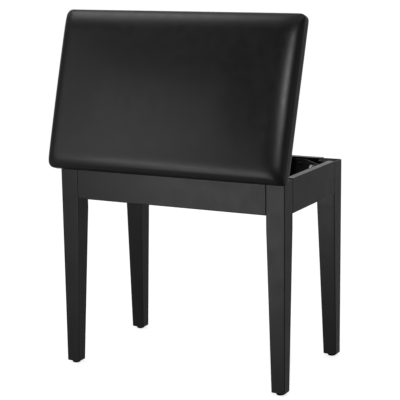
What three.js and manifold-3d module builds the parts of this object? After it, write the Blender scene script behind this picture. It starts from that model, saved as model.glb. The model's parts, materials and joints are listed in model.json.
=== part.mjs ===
// Piano bench: four tapered legs and four aprons make a storage box, and an upholstered seat is its lid.
// Millimetres, +Z up. X runs along the bench, -Y is the rear, where the lid is hinged, and +Y is the front.
// The lid stands open on its two stays. The origin is on the floor, in the middle of the open bench.
import * as THREE from "three";
import { mergeVertices } from "three/addons/utils/BufferGeometryUtils.js";
import Module from "manifold-3d";

const wasm = await Module();
wasm.setup();

// ---- Driving dimensions ----

const gap = 0.3; // between two pieces that touch
const roundSides = 16; // facets of a pin, a bolt or a hole
const cornerSides = 3; // facets of a rounded corner

// Storage box and legs
const boxLength = 510;
const boxDepth = 300;
const rimHeight = 433;
const apronHeight = 70;
const apronThickness = 15;
const panelThickness = 5;
const panelRise = 4.5; // from the aprons' lower edges to the bottom panel
const grooveDepth = 4;
const legSize = 40;
const legTopDrop = 1.5; // leg tops stand a little below the rim
const legTaperTop = 338;
const legTaperAlongX = 10.5;
const legTaperAlongY = 15.5;
const legCornerFlat = 6; // the flat cut on a leg's inner corner, for its bolts

// Feet
const footHeight = 5;
const footRadius = 8.5;
const footFlatRadius = 6.5; // the part that touches the floor
const footEdgeHeight = 2.5; // of the rounded edge round that flat
const footStemRadius = 3;
const footStemLength = 10;

// Corner brackets and leg bolts
const bracketThickness = 2;
const bracketSetback = 10; // from the leg's inner corner to the middle of the plate
const bracketFlange = 20;
const bracketLow = 377;
const bracketHigh = 429;
const boltHeights = { lower: 389, upper: 417 };
const boltRadius = 3;
const boltInLeg = 30;
const boltEnd = 18.5; // how far a bolt stands out of the leg's corner
const nutAcrossFlats = 10;
const nutThickness = 5;

// Lid
const lidLength = 534;
const lidDepth = 333;
const lidRearOverhang = 12.5;
const lidTop = 50; // from the hinge axis to the top of the closed seat
const lidUnderside = 2.6; // from the hinge axis to the underside of the closed seat
const lidOpenAngle = 72.5;
const boardThickness = 12;
const boardInset = 2; // the cover's wrap leaves this much slack round the board
const coverThickness = 1.5;
const hemThickness = 1.2;
const hemWidth = 44;
const seatRoll = 10; // radius of the seat's upper edges
const seatCorner = 13; // radius of the seat's corners, seen from above
const innerCorner = 3; // least corner radius of the pieces inside the lid
const clothThickness = 0.6;
const clothMargin = 37; // from the lid's edge to the dust cloth's

// Butt hinges
const hingeAboveRim = 2.5;
const hingeCentre = 185;
const hingeLength = 50;
const hingeBarrelRadius = 2.3;
const hingePinRadius = 1.2;
const hingePinHeadRadius = 1.9;
const hingePinHeadHeight = 1;
const hingeBoreRadius = 1.35;
const hingeLeafThickness = 1.3;
const hingeKnuckle = 16; // length of the moving leaf's knuckle
const fixedLeafReach = 12.5;
const movingLeafReach = 22;

// Friction stays: parallelograms with corners at the hinge axis, lid pivot, knee and box pivot.
const stayInnerFace = 126; // where a stay's innermost plate lies along X
const boxPivot = new THREE.Vector2(38, -34); // (Y, Z) from the hinge axis
const lidPivot = new THREE.Vector2(95, -9); // (Y, Z) from the hinge axis, with the lid closed
const stayPlate = 2;
const stayLayer = 2.6; // from one plate's inner face to the next one's
const barHalfWidth = 6;
const stayPinRadius = 2.5;
const stayHoleRadius = 2.9;
const stayPinHeadRadius = 4.5;
const stayPinHeadHeight = 1.2;
const stayFlange = 20;

// Rim bumpers
const bumperRadius = 6;
const bumperOffset = 110;

// ---- Materials ----

function material(colour, roughness, metalness) {
  return new THREE.MeshStandardMaterial({ color: colour, roughness, metalness });
}

const blackLacquer = material(0x0d0d0e, 0.35, 0);
const blackBoard = material(0x121212, 0.7, 0);
const blackLeather = material(0x0b0b0b, 0.4, 0);
const blackCloth = material(0x101010, 0.95, 0);
const blackPlastic = material(0x0c0c0c, 0.5, 0);
const blackSteel = material(0x161616, 0.45, 0.6);
const zincSteel = material(0xb9bcc0, 0.3, 1);
const paleFoam = material(0xe6dcc0, 0.95, 0);

// ---- Solids ----

// A closed geometry as a manifold-3d solid.
function solidOf(geometry) {
  const bare = geometry.clone();
  bare.deleteAttribute("normal");
  bare.deleteAttribute("uv");
  const merged = mergeVertices(bare, 1e-4);
  return new wasm.Manifold(
    new wasm.Mesh({
      numProp: 3,
      vertProperties: merged.attributes.position.array,
      triVerts: new Uint32Array(merged.index.array),
    }),
  );
}

// A manifold-3d solid as a geometry.
function geometryOf(solid) {
  const mesh = solid.getMesh();
  const geometry = new THREE.BufferGeometry();
  geometry.setAttribute("position", new THREE.BufferAttribute(mesh.vertProperties, 3));
  geometry.setIndex(new THREE.BufferAttribute(mesh.triVerts, 1));
  geometry.computeVertexNormals();
  return geometry;
}

function cut(geometry, ...tools) {
  return geometryOf(tools.reduce((solid, tool) => solid.subtract(solidOf(tool)), solidOf(geometry)));
}

function join(geometry, ...others) {
  return geometryOf(others.reduce((solid, other) => solid.add(solidOf(other)), solidOf(geometry)));
}

function common(geometry, other) {
  return geometryOf(solidOf(geometry).intersect(solidOf(other)));
}

// An outline as a THREE.Shape, with round holes given as [x, y, radius].
function shapeOf(points, holes = []) {
  const shape = new THREE.Shape(points.map(([x, y]) => new THREE.Vector2(x, y)));
  for (const [x, y, radius] of holes) {
    shape.holes.push(new THREE.Path().absarc(x, y, radius, 0, 2 * Math.PI, true));
  }
  return shape;
}

function extrude(shape, depth, curveSegments = roundSides) {
  return new THREE.ExtrudeGeometry(shape, { depth, bevelEnabled: false, curveSegments });
}

// An outline of (x, y) points, extruded along Z.
function prismZ(shape, low, high, curveSegments) {
  return extrude(shape, high - low, curveSegments).translate(0, 0, low);
}

// An outline of (x, z) points, extruded along Y.
function prismY(shape, low, high) {
  return extrude(shape, high - low).rotateX(Math.PI / 2).translate(0, high, 0);
}

// An outline of (y, z) points, extruded along X.
function prismX(shape, low, high, curveSegments) {
  const turn = new THREE.Matrix4().makeBasis(
    new THREE.Vector3(0, 1, 0),
    new THREE.Vector3(0, 0, 1),
    new THREE.Vector3(1, 0, 0),
  );
  return extrude(shape, high - low, curveSegments).applyMatrix4(turn).translate(low, 0, 0);
}

function block(lowX, highX, lowY, highY, lowZ, highZ) {
  return new THREE.BoxGeometry(highX - lowX, highY - lowY, highZ - lowZ).translate(
    (lowX + highX) / 2,
    (lowY + highY) / 2,
    (lowZ + highZ) / 2,
  );
}

// A cylinder along X through the point (y, z).
function rodX(radius, lowX, highX, y = 0, z = 0, sides = roundSides) {
  return new THREE.CylinderGeometry(radius, radius, highX - lowX, sides)
    .rotateZ(Math.PI / 2)
    .translate((lowX + highX) / 2, y, z);
}

// A cylinder along Z on the axis.
function rodZ(radius, low, high) {
  return new THREE.CylinderGeometry(radius, radius, high - low, roundSides)
    .rotateX(Math.PI / 2)
    .translate(0, 0, (low + high) / 2);
}

// A rectangle with round corners, centred on (0, centreY).
function roundedRectangle(halfX, halfY, centreY, radius) {
  const shape = new THREE.Shape();
  shape.absarc(halfX - radius, centreY + halfY - radius, radius, 0, Math.PI / 2);
  shape.absarc(radius - halfX, centreY + halfY - radius, radius, Math.PI / 2, Math.PI);
  shape.absarc(radius - halfX, centreY - halfY + radius, radius, Math.PI, 1.5 * Math.PI);
  shape.absarc(halfX - radius, centreY - halfY + radius, radius, 1.5 * Math.PI, 2 * Math.PI);
  return shape;
}

// The outline of a strip of sheet metal whose middle line runs through the points.
function stripOutline(points, thickness) {
  const line = points.map(([x, y]) => new THREE.Vector2(x, y));
  const sides = [[], []];
  line.forEach((point, i) => {
    const before = line[Math.max(i - 1, 0)];
    const after = line[Math.min(i + 1, line.length - 1)];
    const into = (i ? point.clone().sub(before) : after.clone().sub(point)).normalize();
    const out = (i < line.length - 1 ? after.clone().sub(point) : into.clone()).normalize();
    const across = new THREE.Vector2(-into.y - out.y, into.x + out.x).normalize();
    const reach = thickness / 2 / across.dot(new THREE.Vector2(-into.y, into.x));
    sides[0].push([point.x + across.x * reach, point.y + across.y * reach]);
    sides[1].unshift([point.x - across.x * reach, point.y - across.y * reach]);
  });
  return shapeOf([...sides[0], ...sides[1]]);
}

function add(group, name, geometry, finish) {
  const mesh = new THREE.Mesh(geometry, finish);
  mesh.name = name;
  group.add(mesh);
  return mesh;
}

// ---- Legs, bolts and feet ----

const corners = [
  { name: "rear_left", sideX: -1, sideY: -1 },
  { name: "rear_right", sideX: 1, sideY: -1 },
  { name: "front_left", sideX: -1, sideY: 1 },
  { name: "front_right", sideX: 1, sideY: 1 },
];

const halfLength = boxLength / 2;
const halfDepth = boxDepth / 2;
const innerLegX = halfLength - legSize;
const innerLegY = halfDepth - legSize;
const apronLow = rimHeight - apronHeight;
const panelLow = apronLow + panelRise;
const panelHigh = panelLow + panelThickness;

// One leg's outline across the bench or along it: plumb outside, tapered inside.
function legOutline(side, half, taper) {
  const outer = side * half;
  const inner = side * (half - legSize);
  return shapeOf([
    [outer, footHeight],
    [inner + side * taper, footHeight],
    [inner, legTaperTop],
    [inner, rimHeight - legTopDrop],
    [outer, rimHeight - legTopDrop],
  ]);
}

// The middle of a leg's lower end.
function footCentre({ sideX, sideY }) {
  return new THREE.Vector3(
    sideX * (halfLength - (legSize - legTaperAlongX) / 2),
    sideY * (halfDepth - (legSize - legTaperAlongY) / 2),
    0,
  );
}

// A frame at a leg's inner corner, whose +X points into the leg.
function cornerGroup({ sideX, sideY }) {
  const group = new THREE.Group();
  group.position.set(sideX * innerLegX, sideY * innerLegY, 0);
  group.rotation.z = Math.atan2(sideY, sideX);
  group.updateMatrix();
  return group;
}

function makeLeg(bench, corner) {
  const { sideX, sideY } = corner;
  const x = sideX * innerLegX;
  const y = sideY * innerLegY;
  const blank = common(
    prismY(legOutline(sideX, halfLength, legTaperAlongX), -halfDepth - 1, halfDepth + 1),
    prismX(legOutline(sideY, halfDepth, legTaperAlongY), -halfLength - 1, halfLength + 1),
  );
  const cornerCut = prismZ(
    shapeOf([
      [x - sideX, y - sideY],
      [x + sideX * (legCornerFlat + 1), y - sideY],
      [x - sideX, y + sideY * (legCornerFlat + 1)],
    ]),
    panelHigh + 1,
    rimHeight,
  );
  const place = cornerGroup(corner).matrix;
  const boltHoles = Object.values(boltHeights).map((height) =>
    rodX(boltRadius + gap, -boltEnd, boltInLeg + gap, 0, height).applyMatrix4(place),
  );
  const centre = footCentre(corner);
  const stemTop = footHeight + footStemLength + gap;
  const stemHole = rodZ(footStemRadius + gap, 0, stemTop).translate(centre.x, centre.y, 0);
  add(bench, `leg_${corner.name}`, cut(blank, cornerCut, ...boltHoles, stemHole), blackLacquer);
}

// A plastic foot with a stem that is pressed into the leg.
function makeGlide(bench, corner) {
  const top = footHeight - gap;
  const profile = [
    [0, 0],
    [footFlatRadius, 0],
    [footRadius - 0.5, 1],
    [footRadius, footEdgeHeight],
    [footRadius, top],
    [footStemRadius, top],
    [footStemRadius, footHeight + footStemLength],
    [0, footHeight + footStemLength],
  ];
  const points = profile.map(([radius, height]) => new THREE.Vector2(radius, height));
  const geometry = new THREE.LatheGeometry(points, roundSides).rotateX(Math.PI / 2);
  add(bench, `glide_${corner.name}`, geometry, blackPlastic).position.copy(footCentre(corner));
}

// The bent plate across a corner of the box, and the two bolts and nuts that pull the leg into it.
function makeCornerHardware(bench, corner) {
  const group = cornerGroup(corner);
  bench.add(group);
  const apronSetback = legSize - apronThickness - bracketThickness / 2 - gap;
  const reach = apronSetback * Math.SQRT2 + bracketSetback;
  const flange = bracketFlange / Math.SQRT2;
  const strip = stripOutline(
    [
      [-bracketSetback - flange, reach + flange],
      [-bracketSetback, reach],
      [-bracketSetback, -reach],
      [-bracketSetback - flange, -reach - flange],
    ],
    bracketThickness,
  );
  const heights = Object.entries(boltHeights);
  const holes = heights.map(([, height]) => rodX(boltRadius + gap, -boltEnd, 0, 0, height));
  const plate = cut(prismZ(strip, bracketLow, bracketHigh), ...holes);
  add(group, `corner_bracket_${corner.name}`, plate, blackSteel);

  const nutFace = -bracketSetback - bracketThickness / 2 - gap;
  const nutRadius = nutAcrossFlats / Math.sqrt(3);
  for (const [level, height] of heights) {
    const bolt = rodX(boltRadius, -boltEnd, boltInLeg);
    add(group, `leg_bolt_${level}_${corner.name}`, bolt, zincSteel).position.z = height;
    const nut = cut(
      rodX(nutRadius, nutFace - nutThickness, nutFace, 0, 0, 6),
      rodX(boltRadius + gap, -boltEnd, 0),
    );
    add(group, `leg_nut_${level}_${corner.name}`, nut, zincSteel).position.z = height;
  }
}

// ---- Aprons and bottom panel ----

// An apron's section: outer and inner face as distances from the box's middle, with a groove for the panel.
function apronSection(side, half) {
  const outer = side * half;
  const inner = side * (half - apronThickness);
  const groove = inner + side * grooveDepth;
  return shapeOf([
    [outer, apronLow],
    [inner, apronLow],
    [inner, panelLow - gap],
    [groove, panelLow - gap],
    [groove, panelHigh + gap],
    [inner, panelHigh + gap],
    [inner, rimHeight],
    [outer, rimHeight],
  ]);
}

function makeAprons(bench) {
  const endX = innerLegX - gap;
  const endY = innerLegY - gap;
  add(bench, "apron_rear", prismX(apronSection(-1, halfDepth), -endX, endX), blackLacquer);
  add(bench, "apron_front", prismX(apronSection(1, halfDepth), -endX, endX), blackLacquer);
  add(bench, "apron_left", prismY(apronSection(-1, halfLength), -endY, endY), blackLacquer);
  add(bench, "apron_right", prismY(apronSection(1, halfLength), -endY, endY), blackLacquer);
}

// The storage box's floor, notched round the legs and held in the aprons' grooves.
function makeBottomPanel(bench) {
  const edgeX = halfLength - apronThickness + grooveDepth - gap;
  const edgeY = halfDepth - apronThickness + grooveDepth - gap;
  const notchX = innerLegX - gap;
  const notchY = innerLegY - gap;
  const quarter = [
    [edgeX, notchY],
    [notchX, notchY],
    [notchX, edgeY],
  ];
  const mirrored = (points, sideX, sideY) => points.map(([x, y]) => [sideX * x, sideY * y]);
  const outline = [
    ...mirrored(quarter, 1, 1),
    ...mirrored(quarter, -1, 1).reverse(),
    ...mirrored(quarter, -1, -1),
    ...mirrored(quarter, 1, -1).reverse(),
  ];
  add(bench, "bottom_panel", prismZ(shapeOf(outline), panelLow, panelHigh), blackBoard);
}

// ---- Lid: drawn closed, with the hinge axis as its group's X axis ----

const lidLow = -lidRearOverhang;
const lidMiddle = lidLow + lidDepth / 2;

// A block with the seat's plan, drawn in by `inset`, with rolled upper edges.
function seatBlock(inset, low, high, roll) {
  const outline = roundedRectangle(
    lidLength / 2 - inset - roll,
    lidDepth / 2 - inset - roll,
    lidMiddle,
    seatCorner - seatRoll,
  );
  const rolled = new THREE.ExtrudeGeometry(outline, {
    depth: high - low,
    bevelThickness: roll,
    bevelSize: roll,
    bevelSegments: cornerSides,
    curveSegments: cornerSides,
  }).translate(0, 0, low - roll);
  return common(rolled, block(-lidLength, lidLength, -lidDepth, 2 * lidDepth, low, high));
}

// The seat's plan, drawn in by `margin`.
function lidRectangle(margin) {
  const radius = Math.max(seatCorner - margin, innerCorner);
  return roundedRectangle(lidLength / 2 - margin, lidDepth / 2 - margin, lidMiddle, radius);
}

function makeSeat(lid) {
  const boardLow = lidUnderside + hemThickness + gap;
  const boardHigh = boardLow + boardThickness;
  const inner = coverThickness + gap;
  const opening = prismZ(lidRectangle(hemWidth), 0, boardHigh, cornerSides);
  const cavity = seatBlock(coverThickness, lidUnderside + hemThickness, lidTop - coverThickness, seatRoll);
  const cover = cut(seatBlock(0, lidUnderside, lidTop, seatRoll), cavity, opening);
  add(lid, "seat_cover", cover, blackLeather);
  add(lid, "seat_foam", seatBlock(inner, boardHigh + gap, lidTop - inner, seatRoll), paleFoam);
  const board = prismZ(lidRectangle(inner + boardInset), boardLow, boardHigh, cornerSides);
  add(lid, "lid_board", board, blackBoard);
  const clothHigh = lidUnderside - gap;
  const cloth = prismZ(lidRectangle(clothMargin), clothHigh - clothThickness, clothHigh, cornerSides);
  add(lid, "dust_cloth", cloth, blackCloth);
}

// ---- Hinges: drawn round their axis, centred on X = 0 ----

// A leaf lies on one side of the axis, and wraps round the pin along the given spans.
function hingeLeaf(spans, lowZ, highZ, reach) {
  const clearOfBarrel = hingeBarrelRadius + gap;
  const half = hingeLength / 2;
  const plate = block(-half, half, clearOfBarrel, reach, lowZ, highZ);
  const straps = spans.map(([low, high]) => block(low, high, 0, clearOfBarrel + 1, lowZ, highZ));
  const barrels = spans.map(([low, high]) => rodX(hingeBarrelRadius, low, high));
  return cut(join(plate, ...straps, ...barrels), rodX(hingeBoreRadius, -half - 1, half + 1));
}

function makeHinge(frameSide, lidSide, side, name) {
  const half = hingeLength / 2;
  const split = hingeKnuckle / 2;
  const fixedSpans = [
    [-half, -split - gap],
    [split + gap, half],
  ];
  const barrel = hingeBarrelRadius;
  const fixed = hingeLeaf(fixedSpans, -barrel, hingeLeafThickness - barrel, fixedLeafReach);
  const moving = hingeLeaf([[-split, split]], barrel - hingeLeafThickness, barrel, movingLeafReach);
  const headFace = half + gap;
  const pin = join(
    rodX(hingePinRadius, -headFace, headFace),
    rodX(hingePinHeadRadius, -headFace - hingePinHeadHeight, -headFace),
    rodX(hingePinHeadRadius, headFace, headFace + hingePinHeadHeight),
  );
  const x = side * hingeCentre;
  add(frameSide, `hinge_fixed_leaf_${name}`, fixed, zincSteel).position.x = x;
  add(frameSide, `hinge_pin_${name}`, pin, zincSteel).position.x = x;
  add(lidSide, `hinge_moving_leaf_${name}`, moving, zincSteel).position.x = x;
}

// ---- Friction stays ----

// The span along X of a stay's layer, counted outwards from the innermost plate.
function layerSpan(side, layer, thickness = stayPlate) {
  const near = side * (stayInnerFace + layer * stayLayer);
  const far = near + side * thickness;
  return [Math.min(near, far), Math.max(near, far)];
}

// A flat bar with round ends and a hole at each end, from the origin along +Y.
function stayBar(length, [low, high]) {
  const shape = new THREE.Shape();
  shape.absarc(length, 0, barHalfWidth, -Math.PI / 2, Math.PI / 2);
  shape.absarc(0, 0, barHalfWidth, Math.PI / 2, 1.5 * Math.PI);
  for (const centre of [0, length]) {
    shape.holes.push(new THREE.Path().absarc(centre, 0, stayHoleRadius, 0, 2 * Math.PI, true));
  }
  return prismX(shape, low, high, roundSides / 2);
}

// A rivet through two neighbouring layers, on the X axis.
function stayPin(side, layer) {
  const [firstLow, firstHigh] = layerSpan(side, layer);
  const [secondLow, secondHigh] = layerSpan(side, layer + 1);
  const low = Math.min(firstLow, secondLow) - gap;
  const high = Math.max(firstHigh, secondHigh) + gap;
  return join(
    rodX(stayPinRadius, low, high),
    rodX(stayPinHeadRadius, low - stayPinHeadHeight, low),
    rodX(stayPinHeadRadius, high, high + stayPinHeadHeight),
  );
}

// The point (y, z) of a 2-D vector turned by an angle in degrees.
function turned(vector, degrees) {
  return vector.clone().rotateAround(new THREE.Vector2(), THREE.MathUtils.degToRad(degrees));
}

function makeStay(frameSide, lidSide, side, name) {
  const openLidPivot = turned(lidPivot, lidOpenAngle);
  const knee = openLidPivot.clone().add(boxPivot);

  // The bracket on the rear apron's inner face, with the box pivot in its wing.
  const [wingLow, wingHigh] = layerSpan(side, 0);
  const [flangeLow, flangeHigh] = layerSpan(side, 0, stayFlange);
  const face = apronThickness + gap;
  const wingEnd = boxPivot.x + barHalfWidth + 1;
  const low = boxPivot.y - 2 * barHalfWidth;
  const high = boxPivot.y + 2 * barHalfWidth;
  const boxBracket = cut(
    join(
      block(wingLow, wingHigh, face, wingEnd, low, high),
      block(flangeLow, flangeHigh, face, face + stayPlate, low, high),
    ),
    rodX(stayHoleRadius, wingLow - 1, wingHigh + 1, boxPivot.x, boxPivot.y),
  );
  add(frameSide, `stay_box_bracket_${name}`, boxBracket, blackSteel);
  const boxPin = add(frameSide, `stay_box_pin_${name}`, stayPin(side, 0), zincSteel);
  boxPin.position.set(0, boxPivot.x, boxPivot.y);

  // The arm, parallel to the lid.
  const arm = new THREE.Group();
  arm.position.set(0, boxPivot.x, boxPivot.y);
  arm.rotation.x = openLidPivot.angle();
  frameSide.add(arm);
  add(arm, `stay_arm_${name}`, stayBar(lidPivot.length(), layerSpan(side, 1)), zincSteel);
  const kneePin = add(arm, `stay_knee_pin_${name}`, stayPin(side, 1), zincSteel);
  kneePin.position.y = lidPivot.length();

  // The link, which keeps its slope while the lid turns.
  const link = new THREE.Group();
  link.position.set(0, knee.x, knee.y);
  link.rotation.x = boxPivot.clone().negate().angle();
  frameSide.add(link);
  add(link, `stay_link_${name}`, stayBar(boxPivot.length(), layerSpan(side, 2)), zincSteel);

  // The bracket under the lid, with the lid pivot in its wing.
  const [tabLow, tabHigh] = layerSpan(side, 3);
  const [plateLow, plateHigh] = layerSpan(side, 3, stayFlange);
  const top = lidUnderside - 2 * gap - clothThickness;
  const rear = lidPivot.x - 2 * barHalfWidth;
  const front = lidPivot.x + 2 * barHalfWidth;
  const lidBracket = cut(
    join(
      block(tabLow, tabHigh, rear, front, lidPivot.y - barHalfWidth, top),
      block(plateLow, plateHigh, rear, front, top - stayPlate, top),
    ),
    rodX(stayHoleRadius, tabLow - 1, tabHigh + 1, lidPivot.x, lidPivot.y),
  );
  add(lidSide, `stay_lid_bracket_${name}`, lidBracket, blackSteel);
  const lidPin = add(lidSide, `stay_lid_pin_${name}`, stayPin(side, 2), zincSteel);
  lidPin.position.set(0, lidPivot.x, lidPivot.y);
}

// ---- Rubber bumpers on the front apron, where the closed lid rests ----

function makeBumper(bench, side, name) {
  const height = hingeAboveRim + lidUnderside - 2 * gap;
  const bumper = rodZ(bumperRadius, rimHeight + gap, rimHeight + height);
  const mesh = add(bench, `lid_bumper_${name}`, bumper, blackPlastic);
  mesh.position.set(side * bumperOffset, halfDepth - apronThickness / 2, 0);
}

// ---- Assembly ----

const bench = new THREE.Group();
for (const corner of corners) {
  makeLeg(bench, corner);
  makeGlide(bench, corner);
  makeCornerHardware(bench, corner);
}
makeAprons(bench);
makeBottomPanel(bench);

// The hinge axis runs along the rear apron's outer top edge.
const hingeLine = new THREE.Group();
hingeLine.position.set(0, -halfDepth, rimHeight + hingeAboveRim);
bench.add(hingeLine);
const lid = new THREE.Group();
lid.rotation.x = THREE.MathUtils.degToRad(lidOpenAngle);
hingeLine.add(lid);
makeSeat(lid);
for (const [name, side] of [
  ["left", -1],
  ["right", 1],
]) {
  makeHinge(hingeLine, lid, side, name);
  makeStay(hingeLine, lid, side, name);
  makeBumper(bench, side, name);
}

// The open lid leans out past the rear legs, so the bench is moved to stand in the middle of its own box.
const centre = new THREE.Box3().setFromObject(bench, true).getCenter(new THREE.Vector3());
bench.position.y = -centre.y;

const root = new THREE.Group();
root.add(bench);

export default root;
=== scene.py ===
"""Piano bench with its lid open: the surfaces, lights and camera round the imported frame. Metres, +Z up."""

import json
import math
import random

import bmesh
import bpy
import numpy as np
from mathutils import Matrix, Vector, noise


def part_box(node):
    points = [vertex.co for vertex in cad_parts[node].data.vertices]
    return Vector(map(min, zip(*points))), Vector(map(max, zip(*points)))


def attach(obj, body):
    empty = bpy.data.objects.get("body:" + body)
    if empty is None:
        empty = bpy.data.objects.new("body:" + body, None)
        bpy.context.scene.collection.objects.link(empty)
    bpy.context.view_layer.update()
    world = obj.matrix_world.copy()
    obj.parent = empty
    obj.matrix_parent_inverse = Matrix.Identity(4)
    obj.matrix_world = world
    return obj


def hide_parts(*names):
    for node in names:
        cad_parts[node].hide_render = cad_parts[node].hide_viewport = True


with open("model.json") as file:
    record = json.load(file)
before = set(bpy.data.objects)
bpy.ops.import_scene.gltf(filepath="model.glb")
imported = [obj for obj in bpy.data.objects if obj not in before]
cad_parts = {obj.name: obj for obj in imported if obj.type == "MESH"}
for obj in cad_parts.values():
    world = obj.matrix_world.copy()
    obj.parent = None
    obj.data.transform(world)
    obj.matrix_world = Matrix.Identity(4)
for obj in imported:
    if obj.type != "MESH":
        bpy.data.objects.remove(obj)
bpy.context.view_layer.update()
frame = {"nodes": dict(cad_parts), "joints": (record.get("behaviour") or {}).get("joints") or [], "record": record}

MM = 0.001
CORNERS = ("rear_left", "rear_right", "front_left", "front_right")
SIDES = ("left", "right")
GAP = 0.3 * MM  # between two pieces that touch

# ---- The camera ----

CAMERA_PLACE = (1.2007, -2.2836, 0.8657)
CAMERA_YAW = 0.4818
CAMERA_PITCH = 0.1957
CAMERA_ROLL = -0.0138
CAMERA_LENS = 112.8  # millimetres, on a sensor 36 mm wide

# ---- Facts from the frame ----

record = frame["record"]
body_of = {node: body for body, nodes in record["behaviour"]["bodies"].items() for node in nodes}
slot_of = {part["node"]: part["material_slot"] for part in record["subparts"]}
lid_hinge = next(joint for joint in frame["joints"] if joint["name"] == "lid_hinge")
open_angle = math.radians(-min(lid_hinge["range_deg"]))
# From the lid's own frame, closed, with X on the hinge axis, to the row frame with the lid open.
LID = Matrix.Translation(lid_hinge["pos_m"]) @ Matrix.Rotation(open_angle, 4, "X")
HERE = Matrix.Identity(4)


def box_in(place, node):
    """Lowest and highest corner of a CAD node in a frame of its own."""
    back = place.inverted()
    points = np.array([back @ vertex.co for vertex in frame["nodes"][node].data.vertices])
    return Vector(points.min(0)), Vector(points.max(0))


def lid_box(node):
    return box_in(LID, node)


seat_low, seat_high = lid_box("seat_cover")
board_high = lid_box("lid_board")[1]
cloth_low, cloth_high = lid_box("dust_cloth")
seat_middle = (seat_low + seat_high) / 2

# ---- Materials ----


class Finish:
    """A material with one Principled shader, and short calls for the nodes that drive it."""

    def __init__(self, name, colour, roughness, **uniform):
        self.material = bpy.data.materials.new(name)
        self.material.use_nodes = True
        self.tree = self.material.node_tree
        self.shader = self.tree.nodes["Principled BSDF"]
        self.set("Base Color", (*colour, 1.0))
        self.set("Roughness", roughness)
        for socket, value in uniform.items():
            self.set(socket.replace("_", " "), value)
        self.normal = None

    def set(self, socket, value):
        self.shader.inputs[socket].default_value = value

    def join(self, output, node_input):
        self.tree.links.new(output, node_input)

    def node(self, kind, **values):
        """A node with its settings and unlinked inputs; a value that is an output is linked."""
        made = self.tree.nodes.new(kind)
        for key, value in values.items():
            if hasattr(made, key):
                setattr(made, key, value)
                continue
            socket = made.inputs[int(key[1:])] if key[1:].isdigit() else made.inputs[key.replace("_", " ")]
            if isinstance(value, bpy.types.NodeSocket):
                self.join(value, socket)
            else:
                socket.default_value = value
        return made

    def place(self, scale=(1, 1, 1)):
        """The point on the piece, with each axis stretched by its scale."""
        where = self.node("ShaderNodeTexCoord").outputs["Object"]
        return self.node("ShaderNodeMapping", Vector=where, Scale=scale).outputs["Vector"]

    def noise(self, scale, detail=2.0, roughness=0.5, stretch=(1, 1, 1), distortion=0.0):
        values = {"Scale": scale, "Detail": detail, "Roughness": roughness, "Distortion": distortion}
        return self.node("ShaderNodeTexNoise", Vector=self.place(stretch), **values).outputs["Fac"]

    def cells(self, scale, feature="F1"):
        made = self.node("ShaderNodeTexVoronoi", feature=feature, Vector=self.place(), Scale=scale)
        return made.outputs["Distance"]

    def span(self, value, low, high, to_low=0.0, to_high=1.0):
        """The value mapped from low..high to to_low..to_high, smoothly and clamped."""
        ends = {"From_Min": low, "From_Max": high, "To_Min": to_low, "To_Max": to_high}
        made = self.node("ShaderNodeMapRange", interpolation_type="SMOOTHSTEP", Value=value, **ends)
        return made.outputs["Result"]

    def math(self, operation, first, second):
        return self.node("ShaderNodeMath", operation=operation, _0=first, _1=second).outputs[0]

    def blend(self, factor, first, second):
        """Two colours mixed by a factor; either may be an output."""
        ends = [end if isinstance(end, bpy.types.NodeSocket) else (*end, 1.0) for end in (first, second)]
        made = self.node("ShaderNodeMix", data_type="RGBA", _0=factor, _6=ends[0], _7=ends[1])
        return made.outputs[2]

    def colour(self, output):
        self.join(output, self.shader.inputs["Base Color"])

    def mottle(self, value, low, high, first, second):
        """A base colour that goes from the first to the second as the value goes from low to high."""
        self.colour(self.blend(self.span(value, low, high), first, second))

    def rough(self, output):
        self.join(output, self.shader.inputs["Roughness"])

    def bump(self, height, depth, strength=1.0):
        """Adds a layer of bump, `depth` metres deep, on top of the ones before it."""
        made = self.node("ShaderNodeBump", Height=height, Distance=depth, Strength=strength)
        if self.normal:
            self.join(self.normal, made.inputs["Normal"])
        self.normal = made.outputs["Normal"]
        self.join(self.normal, self.shader.inputs["Normal"])


GRAIN_STRETCH = {"X": (0.035, 1, 1), "Y": (1, 0.035, 1), "Z": (1, 1, 0.035)}


def lacquer(axis, worn=False):
    """Satin black lacquer on wood whose grain runs along an axis; `worn` is for the rubbed edges."""
    finish = Finish(f"lacquer_{axis}{'_edge' if worn else ''}", (0.005, 0.005, 0.0053), 0.36)
    finish.set("Specular IOR Level", 0.38)
    grain = finish.noise(420, 4, 0.6, GRAIN_STRETCH[axis], 0.4)
    cloud = finish.noise(9, 3, 0.55)
    tone = finish.blend(finish.span(cloud, 0.3, 0.7), (0.004, 0.004, 0.0043), (0.006, 0.006, 0.0063))
    if worn:
        rubbed = finish.math("MULTIPLY", finish.span(finish.noise(60, 5, 0.65), 0.55, 0.75), 0.6)
        tone = finish.blend(rubbed, tone, (0.022, 0.021, 0.02))
        finish.rough(finish.span(rubbed, 0.0, 0.6, 0.34, 0.24))
    else:
        finish.rough(finish.span(finish.noise(26, 4, 0.6), 0.25, 0.75, 0.33, 0.41))
    finish.colour(tone)
    finish.bump(grain, 0.00002)
    finish.bump(finish.noise(330, 2), 0.000012)
    return finish.material


def end_grain():
    """Dull black lacquer that has sunk into sawn end grain."""
    finish = Finish("lacquer_end_grain", (0.005, 0.005, 0.005), 0.75, Specular_IOR_Level=0.08)
    pores = finish.noise(700, 4, 0.7)
    finish.mottle(pores, 0.35, 0.65, (0.003, 0.003, 0.003), (0.007, 0.007, 0.007))
    finish.rough(finish.span(pores, 0.3, 0.7, 0.65, 0.85))
    finish.bump(pores, 0.00006)
    return finish.material


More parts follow.
